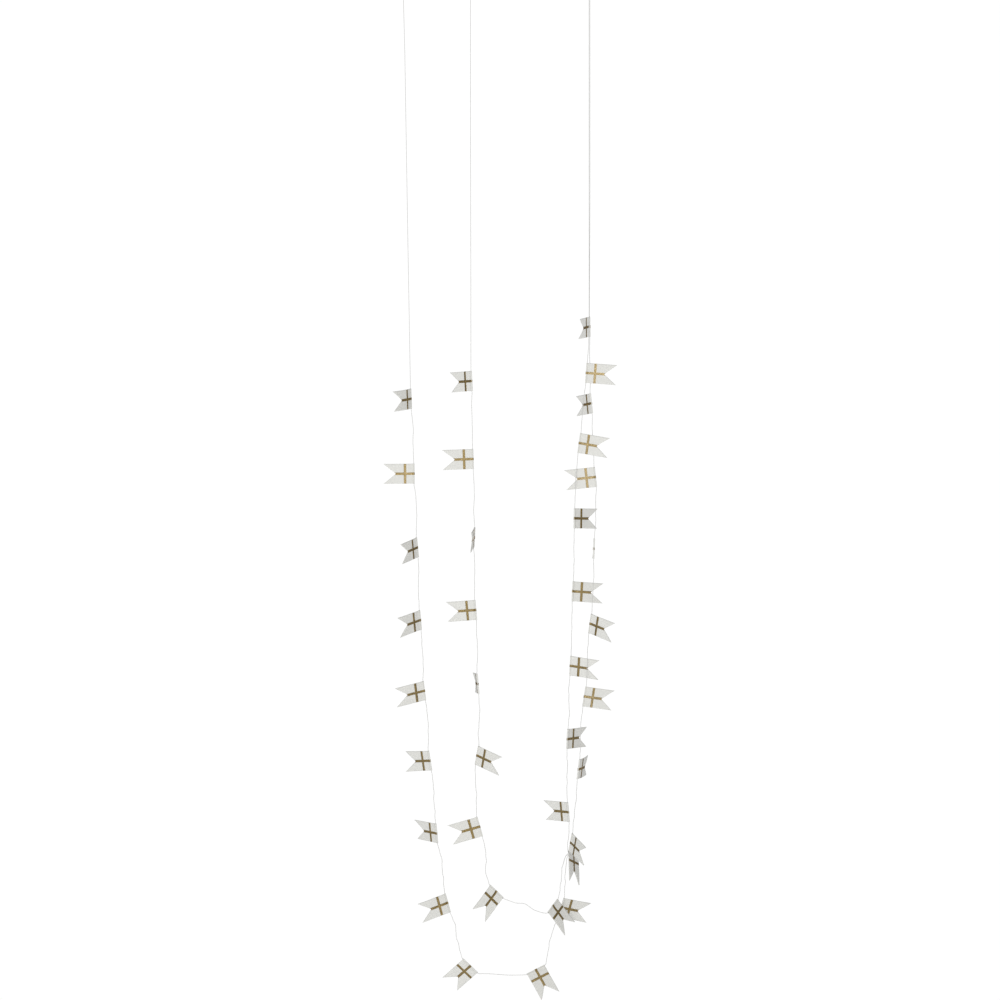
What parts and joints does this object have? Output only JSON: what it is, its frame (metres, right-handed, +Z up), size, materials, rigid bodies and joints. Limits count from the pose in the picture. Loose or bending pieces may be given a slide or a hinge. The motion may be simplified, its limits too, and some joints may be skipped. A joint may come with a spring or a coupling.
{
  "type": "pennant garland",
  "caption": "Garland of small white swallow-tail cloth flags with gold crosses, strung through their folded hoists on thin cord and hung in two deep swags.",
  "frame": {"origin": "right hanging point, the inside top of the eye where the ends of both swags are tied together", "axes": "+Z up, +X to the viewer's right along the hanging points, +Y away from the viewer"},
  "size_m": [0.3508, 0.0953, 1.531],
  "materials": {
    "flag_cloth": "matt, fine ribbed weave, stiffened",
    "cord": "matt, thin twisted cotton",
    "gold_band": "fine glitter, satin"
  },
  "bodies": {
    "root": {"flag_outer_01": "flag_cloth", "flag_outer_02": "flag_cloth", "flag_outer_03": "flag_cloth", "flag_outer_04": "flag_cloth", "flag_outer_05": "flag_cloth", "flag_outer_06": "flag_cloth", "flag_outer_07": "flag_cloth", "flag_outer_08": "flag_cloth", "flag_outer_09": "flag_cloth", "flag_outer_10": "flag_cloth", "flag_outer_11": "flag_cloth", "flag_outer_12": "flag_cloth", "flag_outer_13": "flag_cloth", "flag_outer_14": "flag_cloth", "flag_outer_15": "flag_cloth", "flag_outer_16": "flag_cloth", "flag_outer_17": "flag_cloth", "flag_outer_18": "flag_cloth", "flag_outer_19": "flag_cloth", "flag_inner_01": "flag_cloth", "flag_inner_02": "flag_cloth", "flag_inner_03": "flag_cloth", "flag_inner_04": "flag_cloth", "flag_inner_05": "flag_cloth", "flag_inner_06": "flag_cloth", "flag_inner_07": "flag_cloth", "flag_inner_08": "flag_cloth", "flag_inner_09": "flag_cloth", "flag_inner_10": "flag_cloth", "flag_inner_11": "flag_cloth", "flag_inner_12": "flag_cloth", "flag_inner_13": "flag_cloth", "flag_inner_14": "flag_cloth", "flag_inner_15": "flag_cloth", "flag_inner_16": "flag_cloth", "flag_inner_17": "flag_cloth", "cord_outer": "cord", "cord_inner": "cord", "hanging_loop_left": "cord", "hanging_loop_middle": "cord", "hanging_loop_right": "cord"}
  },
  "joints": []
}
